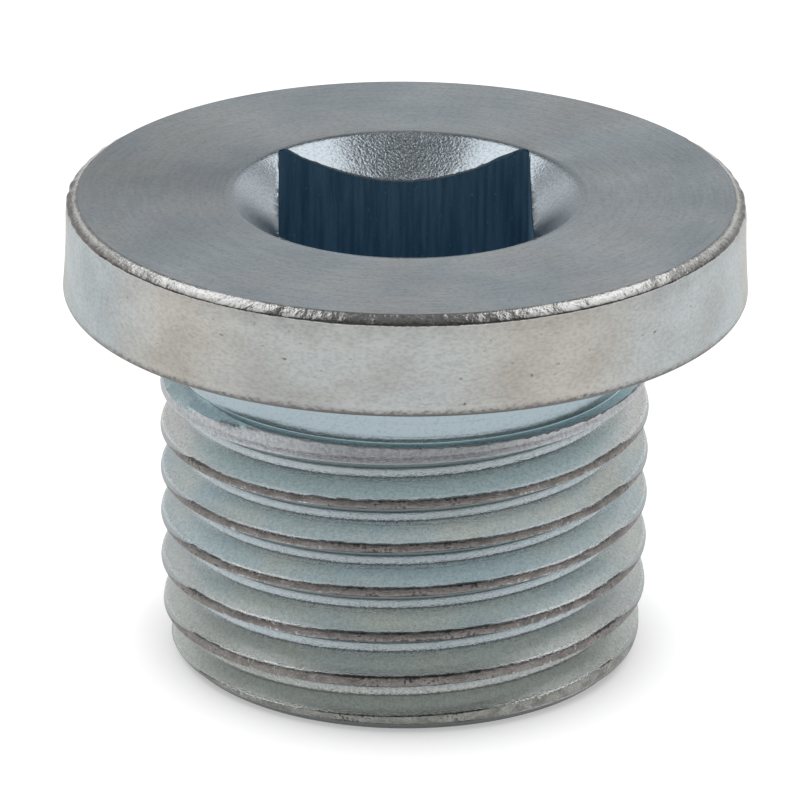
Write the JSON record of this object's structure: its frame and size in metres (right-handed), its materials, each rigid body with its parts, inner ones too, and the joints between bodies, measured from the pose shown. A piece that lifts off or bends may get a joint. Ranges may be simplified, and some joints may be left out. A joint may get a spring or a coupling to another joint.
{
  "type": "oil drain plug",
  "caption": "Flanged oil drain plug with a countersunk square drive socket, a plain neck and a metric fine right-hand thread with a chamfered end.",
  "frame": {"origin": "centre of the flat face at the threaded end, on the axis, where the plug stands", "axes": "+Z along the axis from the threaded end to the head; the flats of the square socket face X and Y"},
  "size_m": [0.022, 0.022, 0.0155],
  "materials": {
    "zinc_plated_steel": "zinc plated and blue passivated, satin on the turned head, shiny in the countersink and the neck"
  },
  "bodies": {
    "root": {"drain_plug": "zinc_plated_steel"}
  },
  "joints": []
}
